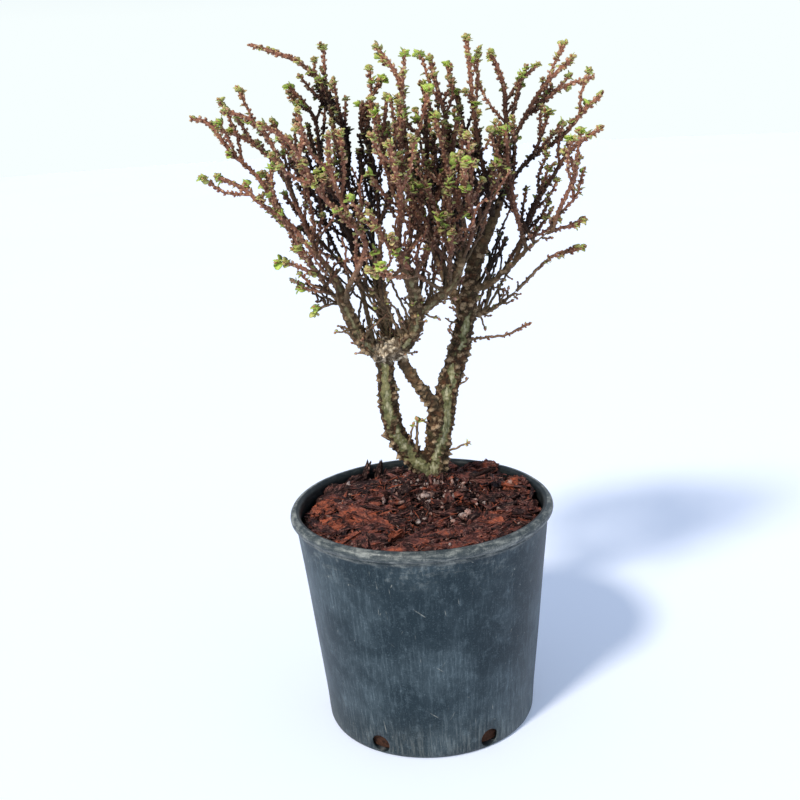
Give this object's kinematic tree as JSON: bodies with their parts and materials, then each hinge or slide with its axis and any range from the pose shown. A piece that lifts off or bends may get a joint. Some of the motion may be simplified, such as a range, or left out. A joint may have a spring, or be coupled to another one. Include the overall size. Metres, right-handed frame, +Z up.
{
  "type": "potted bonsai tree",
  "caption": "Twin-trunk cork-barked elm bonsai with fine knobby shoots and tiny leaves, rooted in a round plastic nursery pot topped with bark mulch.",
  "frame": {"origin": "centre of the pot's flat foot, at the height that it stands on", "axes": "+Z up along the pot's axis, -Y towards the side that the picture shows, +X to the viewer's right"},
  "size_m": [0.169, 0.1286, 0.2908],
  "materials": {
    "pot_plastic": "dark green-black, scuffed and dusty at the rim",
    "potting_mix": "dark, damp and crumbly",
    "bark_mulch": "rough red-brown shreds",
    "bark": "olive smooth strips between brown corky ridges",
    "shoots": "matte mauve-brown, knobby"
  },
  "bodies": {
    "root": {"pot": "pot_plastic", "potting_mix": "potting_mix", "bark_mulch": "bark_mulch", "trunk_and_limbs": "bark", "spray_left_low": "shoots", "spray_left_upper": "shoots", "spray_front_left": "shoots", "spray_left_arch": "shoots", "spray_front_centre": "shoots", "spray_centre": "shoots", "spray_centre_slim": "shoots", "spray_cross": "shoots", "spray_cross_front": "shoots", "spray_top_right": "shoots", "spray_tallest": "shoots", "spray_right_head": "shoots", "spray_right_wing": "shoots", "spray_right_mid": "shoots", "spray_right_low": "shoots", "spray_right_tip": "shoots", "spray_low_whip": "shoots", "spray_lowest_twig": "shoots", "spray_left_stub": "shoots", "spray_left_spur": "shoots", "spray_left_flag": "shoots", "spray_inner_01": "shoots", "spray_inner_02": "shoots", "spray_inner_03": "shoots", "spray_inner_04": "shoots", "spray_inner_05": "shoots", "spray_inner_06": "shoots", "spray_inner_07": "shoots", "spray_inner_08": "shoots", "spray_inner_09": "shoots", "spray_inner_10": "shoots", "spray_inner_11": "shoots", "spray_inner_12": "shoots", "spray_inner_13": "shoots", "spray_inner_14": "shoots", "spray_inner_15": "shoots", "spray_inner_16": "shoots", "spray_inner_17": "shoots", "spray_inner_18": "shoots", "spray_inner_19": "shoots", "spray_inner_20": "shoots", "spray_inner_21": "shoots", "spray_inner_22": "shoots"}
  },
  "joints": []
}
